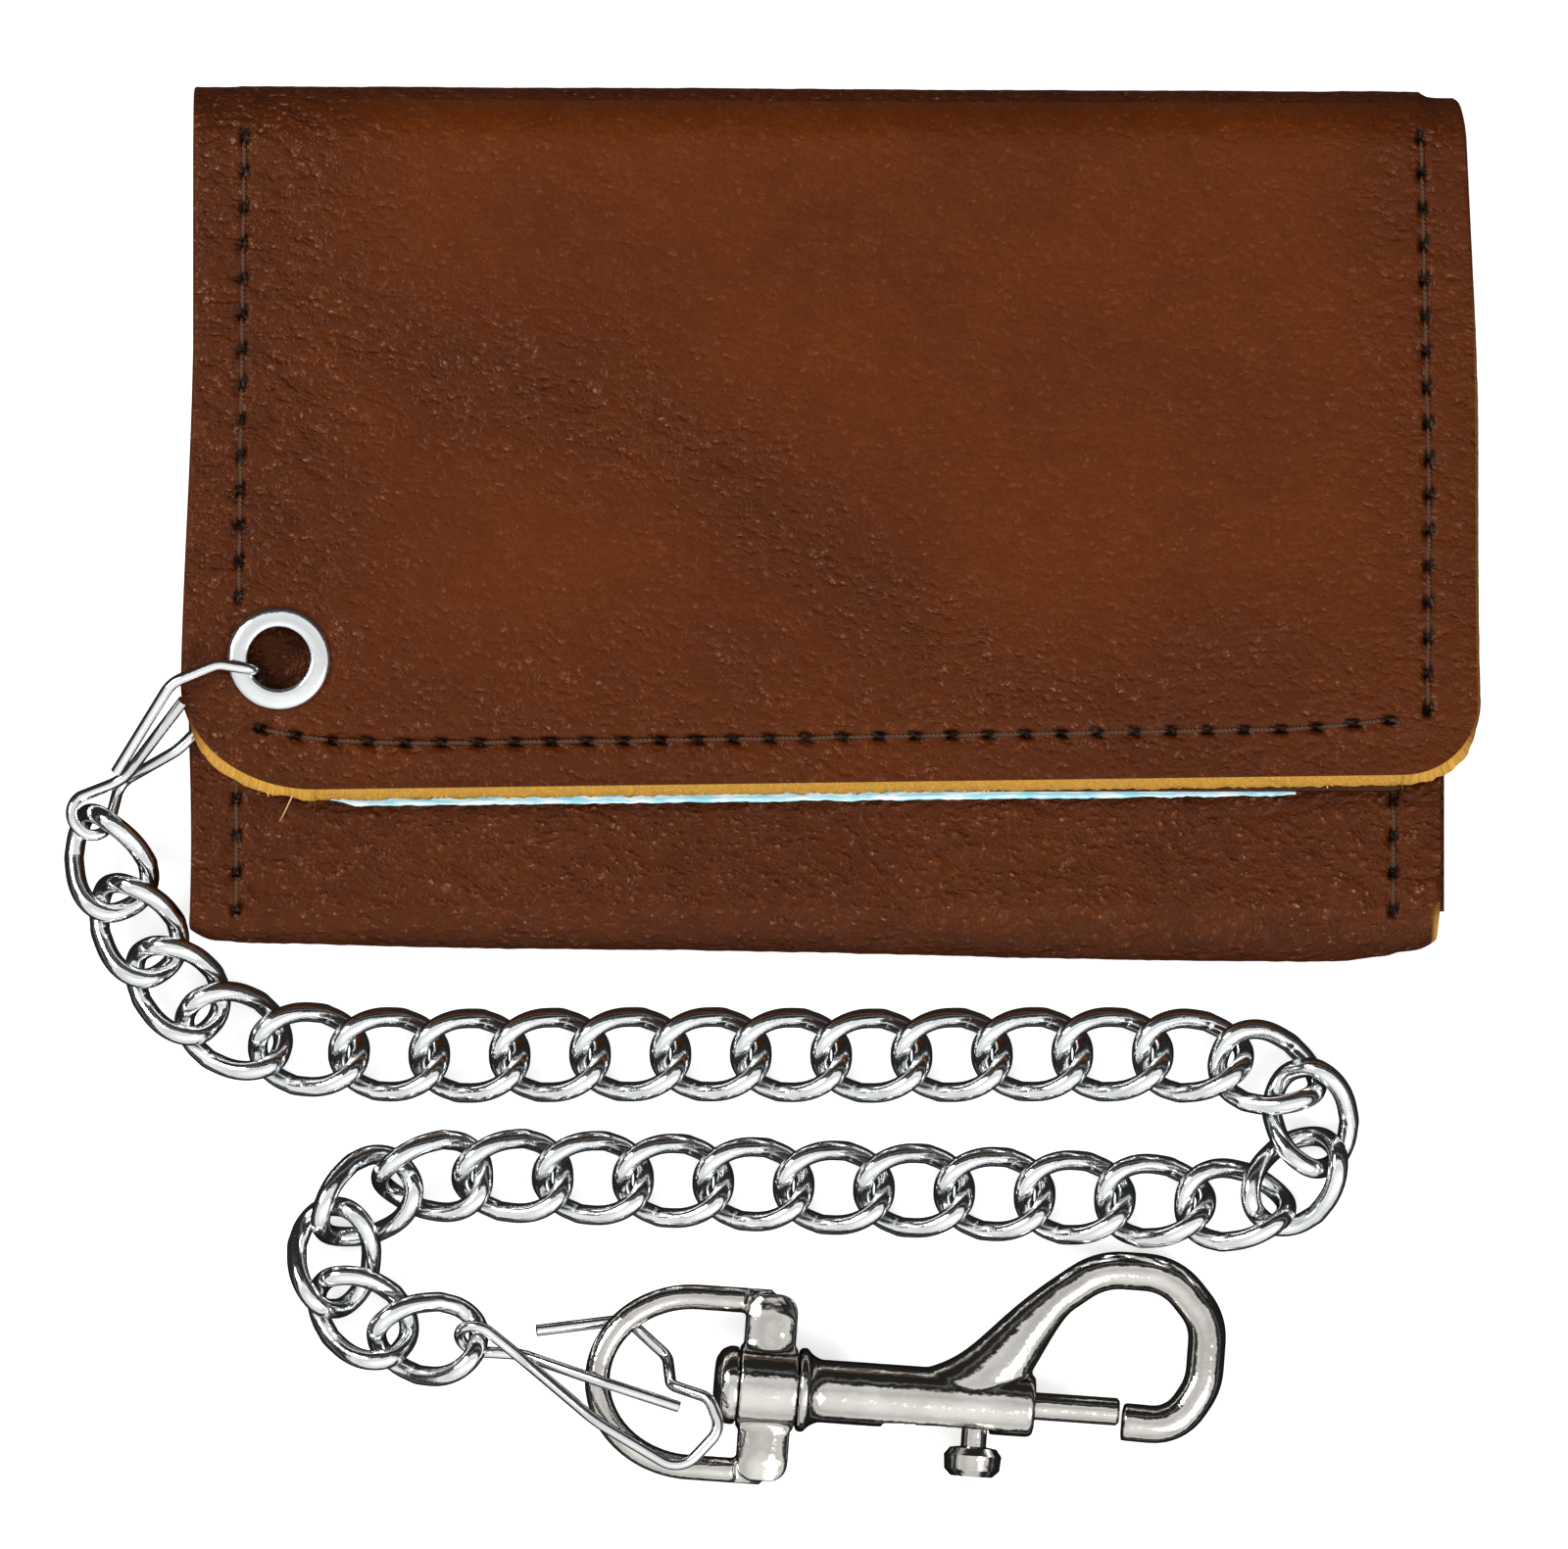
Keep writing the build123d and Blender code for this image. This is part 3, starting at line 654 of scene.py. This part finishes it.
def outer_place(u, s):
    """The back panel, the top fold and the flap, followed from the bottom fold round to the flap's edge."""
    back = TOP_LINE - BOTTOM_LINE
    arc = math.pi * TOP_RADIUS
    turned = np.clip((s - back) / arc, 0, 1) * math.pi - math.pi / 2
    on_back, on_flap = s <= back, s >= back + arc
    y = np.where(on_back, BOTTOM_LINE + s, TOP_LINE + TOP_RADIUS * np.cos(turned))
    y = np.where(on_flap, TOP_LINE - (s - back - arc), y)
    z = np.where(on_back, 0.0, TOP_RADIUS + TOP_RADIUS * np.sin(turned))
    z = np.where(on_flap, 2 * TOP_RADIUS, z)
    round_top = (turned + math.pi / 2) / math.pi
    left, right = flap_reach(np.where(on_flap, y, TOP_LINE))
    blend = smooth(round_top, 0.0, 1.0)
    left = back_lo[0] + (left - back_lo[0]) * blend
    right = back_hi[0] + (right - back_hi[0]) * blend
    sway = 0.22 * np.sin(y / 9.0) * smooth(round_top, 0.4, 1.0)
    x = left + sway + u * (right - left)
    down = np.clip((TOP_LINE - y) / (TOP_LINE - flap_lo[1]), 0, 1)
    y = y + np.where(on_flap, FLAP_RISE * u * down**2, 0)
    edge_drop = 0.55 * u + 0.45 * smooth(x, top_hi[0] - 4.2, top_hi[0] - 3.4)
    y = y - edge_drop * np.cos(turned) * (~on_back & ~on_flap)
    normals = np.stack([np.zeros(x.shape), np.cos(turned), np.sin(turned)], 2)
    flat = np.stack([x, s], 2)
    face = np.where(turned > 0, 1.0, 0.0)
    bulge = 0.30 * np.sin(np.pi * np.clip(u, 0, 1)) ** 0.6 * np.sin(np.pi * np.clip(down, 0, 1)) ** 0.8
    relief = np.where(on_flap, bulge, 0) + 0.05 * wander(x, s, 7.0, 1.3) + 0.028 * wander(x, s, 1.6, 5.0)
    relief = relief + 0.03 * wander(x, s, 0.9, 9.0)
    for side, lines in ((1, seams["flap"]), (-1, seams["back"])):
        relief = relief + sewn(x, y, lines)[0] * (normals[..., 2] * side > 0.15)
    outside = np.maximum(
        smooth(x, flap_hi[0] - 4.9, flap_hi[0] - 3.9), smooth(-x, -flap_lo[0] - 5.2, -flap_lo[0] - 4.2)
    )
    outside = np.maximum(outside, smooth(-y, -flap_lo[1] - 5.2, -flap_lo[1] - 4.2) * on_flap)
    relief = relief - 0.20 * outside * (1 - 0.6 * (1 - face))
    relief = np.where(z < TOP_RADIUS * 0.2, np.minimum(relief, 0.0), relief)
    points = np.stack([x, y, z], 2)
    return points, normals, flat, relief


def outer_hide():
    back = TOP_LINE - BOTTOM_LINE
    arc = math.pi * TOP_RADIUS
    total = back + arc + (TOP_LINE - flap_lo[1])
    seams_at = [5.0 / FLAP_WIDTH, 1 - 4.8 / FLAP_WIDTH]
    columns = spaced(0, 1, COARSE / FLAP_WIDTH, seams_at, FINE / FLAP_WIDTH, 1.2 / FLAP_WIDTH)
    rows = np.r_[
        np.linspace(0, back, 70)[:-1],
        np.linspace(back, back + arc, 44)[:-1],
        spaced(back + arc, total, COARSE, [total - 4.6, total - 5.6], 0.24, 1.4),
    ]
    closing = np.array([0.85, 0.6, 0.42, 0.28, 0.17, 0.09, 0.035, 0])
    rows = np.r_[rows[rows < total - 0.9], total - closing]

    def bare_edge(base):
        """Where the flap's cut edge shows yellow: all along the bottom, faintly up the right side."""
        x, y, z = base[..., 0], base[..., 1], base[..., 2]
        bottom = smooth(-y, -flap_lo[1] - 6.5, -flap_lo[1] - 2.6)
        side = 0.16 * smooth(x, 40, 52) * smooth(-y, -26, -10)
        return np.maximum(bottom, side) * (z > TOP_RADIUS)

    sheet = Sheet(columns, rows, outer_place, LEATHER, raw=bare_edge, hole=(EYELET, HOLE))
    x, y, z = sheet.points.T
    upper = z > TOP_RADIUS
    # painted shade in the stitch holes
    dark = np.where(upper, sewn(x, y, seams["flap"])[1], sewn(x, y, seams["back"])[1])
    dark = dark * ((z > flap_hi[2] - 0.9) | (z < 0.6))
    # darker along the flap's bottom edge
    flap_foot_dark = 0.18 * smooth(-y, -flap_lo[1] - 1.6, -flap_lo[1] - 0.2) * upper
    # painted shade on the top fold, where it turns away
    fold_shade = 0.22 * smooth(y, TOP_LINE + 1.2, top_hi[1])
    shade = np.maximum(dark, np.maximum(flap_foot_dark, fold_shade)) * (1 - sheet.raw)
    piece = sheet.piece("outer_hide", outer_leather, "leather", shade)
    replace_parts(piece, "back_panel", "top_fold", "flap_panel")
    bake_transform(piece)
    return piece


# ---- leather outer: bottom fold and lower panel ----
def lower_place(u, s):
    """The bottom fold and the lower panel, from the back panel round to the panel's tip."""
    arc = math.pi * BOTTOM_RADIUS
    turned = np.clip(s / arc, 0, 1) * math.pi - math.pi / 2
    on_panel = s >= arc
    y = np.where(on_panel, BOTTOM_LINE + (s - arc), BOTTOM_LINE - BOTTOM_RADIUS * np.cos(turned))
    z = np.where(on_panel, 2 * BOTTOM_RADIUS, BOTTOM_RADIUS + BOTTOM_RADIUS * np.sin(turned))
    left, right = lower_lo[0] + 0.9 * smooth(y, -20, 8), lower_hi[0]
    near_tip = np.clip(3.0 - (lower_hi[1] - y), 0, 3)
    inset = np.where(on_panel, 3 - np.sqrt(np.maximum(9 - near_tip**2, 0)), 0)
    sway = 0.25 * np.sin(y / 5.0 + 1.0)
    x = left + inset + 0.6 * sway * (1 - u) + u * (right - left - 2 * inset + sway)
    corner = np.clip(1 - np.minimum(x - left, right - x) / 2.2, 0, 1)
    skirt = -0.6 + 0.6 * smooth(x, lower_lo[0], -25) + 1.1 * smooth(x, -25, 42) - 0.9 * smooth(x, 44, right)
    y = y - (skirt - 0.9 * corner**2) * np.cos(turned) * ~on_panel
    normals = np.stack([np.zeros(x.shape), -np.cos(turned), np.sin(turned)], 2)
    flat = np.stack([x, 200 - s], 2)
    relief = 0.06 * wander(x, s, 6.0, 21.0) + 0.05 * wander(x * 1.6, s * 0.8, 1.5, 25.0)
    relief = relief + 0.22 * smooth(x - left, 0, 9) * smooth(right - x, 0, 9) * on_panel
    relief = relief + sewn(x, y, seams["lower"])[0] * (normals[..., 2] > 0.15)
    outside = np.maximum(smooth(x, right - 4.2, right - 3.2), smooth(left - x, -4.2, -3.2))
    relief = relief - 0.16 * outside
    relief = np.where(z < BOTTOM_RADIUS * 0.3, np.minimum(relief, 0.0), relief)
    return np.stack([x, y, z], 2), normals, flat, relief


def lower_hide():
    arc = math.pi * BOTTOM_RADIUS
    total = arc + lower_hi[1] - BOTTOM_LINE
    seams_at = [4.0 / LOWER_WIDTH, 1 - 3.9 / LOWER_WIDTH]
    columns = spaced(0, 1, COARSE / LOWER_WIDTH, seams_at, FINE / LOWER_WIDTH, 1.2 / LOWER_WIDTH)
    in_view = arc + 22
    round_fold = np.linspace(0, arc, 34)
    rows = np.r_[round_fold[:-1], spaced(arc, in_view, COARSE)[:-1], spaced(in_view, total, 0.8)]
    sheet = Sheet(columns, rows, lower_place, LEATHER)
    x, y, z = sheet.points.T
    # painted shade in the stitch holes
    dark = sewn(x, y, seams["lower"])[1] * (z > lower_hi[2] - 0.9)
    # painted shade on the bottom fold, where it turns away
    fold_shade = 0.35 * smooth(-y, -BOTTOM_LINE + 0.6, -bottom_lo[1])
    patch = smooth(x, lower_hi[0] - 0.5, lower_hi[0] + 0.2) * smooth(-y, 34.0, 36.5)
    sheet.raw = np.maximum(sheet.raw, patch)
    piece = sheet.piece("lower_hide", outer_leather, "leather", np.maximum(dark, fold_shade) * (1 - sheet.raw))
    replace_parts(piece, "bottom_fold", "lower_panel")
    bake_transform(piece)
    return piece


# ---- linings and pockets ----
def flat_sheet(node, body, side, hem=True, hole=None, outline=None, step=0.9):
    """A thin sheet that stands for a flat CAD node; side is +1 where its good face looks up."""
    lo, hi = span(node)
    thick = (hi[2] - lo[2]) * 0.86
    face = hi[2] - 0.05 if side > 0 else lo[2] + 0.05
    length = hi[1] - lo[1]
    seed = sum(map(ord, node)) % 37

    def place(u, s):
        y = lo[1] + s
        left, right = (lo[0], hi[0]) if outline is None else outline(y)
        x = left + u * (right - left) if side > 0 else right - u * (right - left)
        sway = 0.18 * np.sin(x / 11.0 + seed) * smooth(s, length - 8, length)
        normals = np.zeros(x.shape + (3,))
        normals[..., 2] = side
        relief = 0.025 * wander(x, y, 5.0, seed)
        if hem:
            relief = relief - 0.10 * np.exp(-(((s - (length - 2.6)) / 0.45) ** 2))
        relief = np.minimum(relief, 0.03)
        return np.stack([x, y + sway, np.full(x.shape, face)], 2), normals, np.stack([x, y], 2), relief

    columns = spaced(0, 1, step / (hi[0] - lo[0]))
    rows = spaced(0, length, step)
    sheet = Sheet(columns, rows, place, thick, hole=hole)
    piece = sheet.piece(node + "_skin", inner_leather, "lining")
    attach(piece, body)
    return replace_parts(piece, node)


def linings():
    for node, body, side in (
        ("bill_divider", "back", 1),
        ("upper_card_pocket", "back", 1),
        ("lower_card_pocket", "back", 1),
        ("coin_pocket_back", "lower", -1),
        ("coin_pocket_front", "lower", -1),
    ):
        flat_sheet(node, body, side)

    def under_flap(y):
        left, right = flap_reach(y)
        return left + 1.0, right - 1.0

    flat_sheet("flap_lining", "flap", -1, hem=False, hole=(EYELET, HOLE), outline=under_flap)


def window():
    """The clear window behind the flap; its cut edge shows as a pale line below the flap's raw edge."""
    lo, hi = span("id_window")
    length = hi[1] - lo[1]

    def place(u, s):
        y = hi[1] - s
        x = lo[0] + u * (hi[0] - lo[0])
        rise = FLAP_RISE * (x - flap_lo[0]) / (flap_hi[0] - flap_lo[0])
        ragged = 0.09 * wander(x, 0 * x, 2.2, 4.0) + 0.09 * wander(x, 0 * x, 0.5, 8.0)
        narrow = 0.5 * (1 - smooth(x, lo[0], lo[0] + 2.5))
        y = y + (rise + ragged + narrow - 0.68) * smooth(s, length - 6, length)
        normals = np.zeros(x.shape + (3,))
        normals[..., 2] = 1
        relief = 0.05 * wander(x, y, 8.0, 2.0) - 0.05
        return np.stack([x, y, np.full(x.shape, hi[2])], 2), normals, np.stack([x, y], 2), relief

    sheet = Sheet(spaced(0, 1, 0.5 / 86), spaced(0, length, 0.7), place, hi[2] - lo[2] - 0.06)
    sheet.raw = smooth(-sheet.points[:, 1], -lo[1] - 2.6, -lo[1] - 1.6)
    piece = sheet.piece("window_film", clear_vinyl, "window")
    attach(piece, "flap")
    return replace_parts(piece, "id_window")


# The two longest loose fibres: place along the edge, length and sideways lean
LONG_FIBRES = ((-48.6, 2.6, -0.45), (-50.9, 0.9, 0.2))
SHORT_FIBRES = 24


def loose_fibres():
    """Threads of hide that stand out of the flap's raw edge."""
    fibres = list(LONG_FIBRES)
    for _ in range(SHORT_FIBRES):
        x = flap_lo[0] + 7 + 104 * rng.random()
        length = rng.uniform(0.25, 0.6)
        fibres.append((x, length, rng.uniform(-0.8, 0.8)))
    points, faces = [], []
    sides, rings = 6, 6
    for x, length, lean in fibres:
        share = (x - flap_lo[0]) / (flap_hi[0] - flap_lo[0])
        corner = max(0.0, flap_lo[0] + 12 - x)
        y = flap_lo[1] + FLAP_RISE * share - 0.85 + 0.035 * corner**2
        z = flap_lo[2] + 0.35
        first = len(points)
        for i in range(rings):
            t = i / (rings - 1)
            cx, cy, cz = x + lean * length * t, y - length * t + 0.25 * t * t, z - 0.25 * t * length
            radius = 0.075 * (1 - 0.6 * t)
            for j in range(sides):
                a = 2 * math.pi * j / sides
                points.append([cx + radius * math.cos(a), cy, cz + radius * math.sin(a)])
        for i in range(rings - 1):
            for j in range(sides):
                a, b = first + i * sides + j, first + i * sides + (j + 1) % sides
                faces.append((a, b, b + sides, a + sides))
        faces.append(tuple(first + j for j in range(sides))[::-1])
        faces.append(tuple(first + (rings - 1) * sides + j for j in range(sides)))
    n = Nodes("hide_fibre")
    tone = n.noise(n.solid(), 2.0).outputs[0]
    fibre = n.finish(Base_Color=n.mix(tone, (0.62, 0.36, 0.12), (0.80, 0.58, 0.26)), Roughness=0.8)
    return new_piece("edge_fibres", points, faces, fibre, "flap")


# ---- metal ----
def dress(node, material):
    """A CAD node keeps its shape and takes a better material."""
    mesh = nodes[node].data
    mesh.materials.clear()
    mesh.materials.append(material)
    mesh.shade_smooth()
    mesh.set_sharp_from_angle(angle=math.radians(38))


def applied(piece):
    """Turn a piece's modifiers into its mesh."""
    evaluated = piece.evaluated_get(bpy.context.evaluated_depsgraph_get())
    final = bpy.data.meshes.new_from_object(evaluated)
    piece.modifiers.clear()
    piece.data = final
    return final


def pillowed(points):
    """The swivel eye's two flat arms, domed across so that their edges run down to the wire."""
    joint = next(j for j in frame["joints"] if j["name"] == "snap_swivel")
    along = np.array(joint["axis"])
    aside = np.cross((0, 0, 1), along)
    aside /= np.linalg.norm(aside)
    up = np.cross(along, aside)
    centre = np.array(joint["pos_m"]) / MM
    local = (points - centre) @ np.stack([along, aside, up], 1)
    across = np.abs(local[:, 0]) / ARM_HALF
    outside = smooth(np.abs(local[:, 1]), COLLAR_RADIUS - 0.9, COLLAR_RADIUS + 0.4)
    tip = smooth(np.abs(local[:, 1]), ARM_REACH - 2.2, ARM_REACH)
    within = across < 1.04
    keep = 1 - outside * within * (0.44 * np.minimum(across, 1) ** 2 + 0.25 * tip)
    local[:, 2] *= keep
    return local @ np.stack([along, aside, up], 0) + centre


def cast(node, body, voxel, rounds, shaped=None):
    """A cast piece: the CAD shape with every edge rounded over, as a die casting comes out of polishing."""
    source = nodes[node]
    mesh = source.data.copy()
    mesh.transform(source.matrix_world)
    piece = bpy.data.objects.new(node + "_cast", mesh)
    bpy.context.scene.collection.objects.link(piece)
    remesh = piece.modifiers.new("voxels", "REMESH")
    remesh.mode = "VOXEL"
    remesh.voxel_size = voxel * MM
    final = applied(piece)
    if shaped is not None:
        points = np.empty(len(final.vertices) * 3, np.float32)
        final.vertices.foreach_get("co", points)
        moved = shaped(points.reshape(-1, 3) / MM) * MM
        final.vertices.foreach_set("co", moved.ravel().astype(np.float32))
    soften = piece.modifiers.new("soften", "SMOOTH")
    soften.factor = 0.5
    soften.iterations = rounds
    final = applied(piece)
    final.materials.clear()
    final.materials.append(cast_metal)
    final.shade_smooth()
    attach(piece, body)
    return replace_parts(piece, node)


def metals():
    for node in nodes:
        if node.startswith("link_"):
            dress(node, nickel)
    for node in ("wallet_clip", "hook_clip", "plunger_spring"):
        dress(node, wire_metal)
    for node in ("eyelet", "eyelet_washer"):
        dress(node, eyelet_metal)
    for node in ("plunger", "thumb_stud"):
        dress(node, cast_metal)
    cast("swivel_eye", "swivel_eye", 0.17, 9, pillowed)
    cast("snap_body", "snap", 0.2, 5)


# ---- studio ----
SKY_TILT = 36
# The sky's brightness, from a right angle off its tilted pole (0) to the pole itself (1)
SKY = (
    (0.0, 0.02),
    (0.06, 0.02),
    (0.10, 0.30),
    (0.16, 0.02),
    (0.40, 0.02),
    (0.44, 0.85),
    (0.72, 0.62),
    (1.0, 1.0),
)
# Each lamp's name, place in metres, size in metres and power in watts
LAMPS = (
    ("key", (-0.40, 0.16, 0.40), 0.22, 2.2),
    ("fill", (0.30, -0.34, 0.42), 0.34, 1.4),
)
FLOOR_HALF = 1.5
FLOOR_GAP = 0.00005


def studio():
    """A sky that is brightest towards the wallet's foot, two soft lamps and a pale floor."""
    world = bpy.data.worlds.new("studio")
    world.use_nodes = True
    bpy.context.scene.world = world
    tree = world.node_tree
    tree.nodes.clear()
    direction = tree.nodes.new("ShaderNodeTexCoord")
    lean = tree.nodes.new("ShaderNodeVectorMath")
    lean.operation = "DOT_PRODUCT"
    tilt = math.radians(SKY_TILT)
    lean.inputs[1].default_value = (0, -math.sin(tilt), math.cos(tilt))
    ramp = tree.nodes.new("ShaderNodeValToRGB")
    sky = tree.nodes.new("ShaderNodeBackground")
    backdrop = tree.nodes.new("ShaderNodeBackground")
    seen = tree.nodes.new("ShaderNodeLightPath")
    either = tree.nodes.new("ShaderNodeMixShader")
    output = tree.nodes.new("ShaderNodeOutputWorld")
    tree.links.new(direction.outputs["Generated"], lean.inputs[0])
    tree.links.new(lean.outputs["Value"], ramp.inputs[0])
    tree.links.new(ramp.outputs[0], sky.inputs["Color"])
    tree.links.new(seen.outputs["Is Camera Ray"], either.inputs[0])
    tree.links.new(sky.outputs[0], either.inputs[1])
    tree.links.new(backdrop.outputs[0], either.inputs[2])
    tree.links.new(either.outputs[0], output.inputs["Surface"])
    ramp.color_ramp.elements.remove(ramp.color_ramp.elements[1])
    for k, (place, value) in enumerate(SKY):
        element = ramp.color_ramp.elements[0] if k == 0 else ramp.color_ramp.elements.new(place)
        element.position = place
        element.color = (value, value, value, 1)
    sky.inputs["Strength"].default_value = 1.15
    backdrop.inputs["Color"].default_value = (0.9, 0.9, 0.9, 1)

    for name, place, size, energy in LAMPS:
        light = bpy.data.lights.new(name, "AREA")
        light.size = size
        light.energy = energy
        lamp = bpy.data.objects.new(name, light)
        lamp.location = place
        lamp.rotation_euler = (-Vector(place)).to_track_quat("-Z", "Y").to_euler()
        bpy.context.scene.collection.objects.link(lamp)

    mesh = bpy.data.meshes.new("floor")
    corners = [(FLOOR_HALF * x, FLOOR_HALF * y, 0) for x, y in ((-1, -1), (1, -1), (1, 1), (-1, 1))]
    mesh.from_pydata(corners, [], [(0, 1, 2, 3)])
    mesh.materials.append(floor_material())
    floor = bpy.data.objects.new("floor", mesh)
    floor.location.z = cad_low.z - FLOOR_GAP
    bpy.context.scene.collection.objects.link(floor)
    floor.visible_glossy = False


# ---- camera, in metres ----
EYE_HEIGHT = 2.206
VIEW_DISTANCE = 2.2
VIEW_WIDTH = 0.1406
VIEW_OFFSET = (0.0011, 0.0010)
SENSOR_MM = 36


def camera():
    """Straight down from above, framed a little wider than the object."""
    middle = (cad_low + cad_high) / 2
    data = bpy.data.cameras.new("camera")
    data.sensor_width = SENSOR_MM
    data.lens = SENSOR_MM * VIEW_DISTANCE / VIEW_WIDTH
    data.clip_start, data.clip_end = 0.01, 10
    eye = bpy.data.objects.new("camera", data)
    eye.location = (middle.x + VIEW_OFFSET[0], middle.y + VIEW_OFFSET[1], EYE_HEIGHT)
    bpy.context.scene.collection.objects.link(eye)
    bpy.context.scene.camera = eye


camera()
studio()
outer_hide()
lower_hide()
linings()
window()
loose_fibres()
stitches("flap_thread", seams["flap"], flap_hi[2], 1, "flap", "flap_stitching")
stitches("lower_thread", seams["lower"], lower_hi[2], 1, "lower", "lower_stitching")
stitches("back_thread", seams["back"], 0.32, -1, "back", "back_stitching")
metals()
bpy.context.scene.view_settings.view_transform = "Standard"
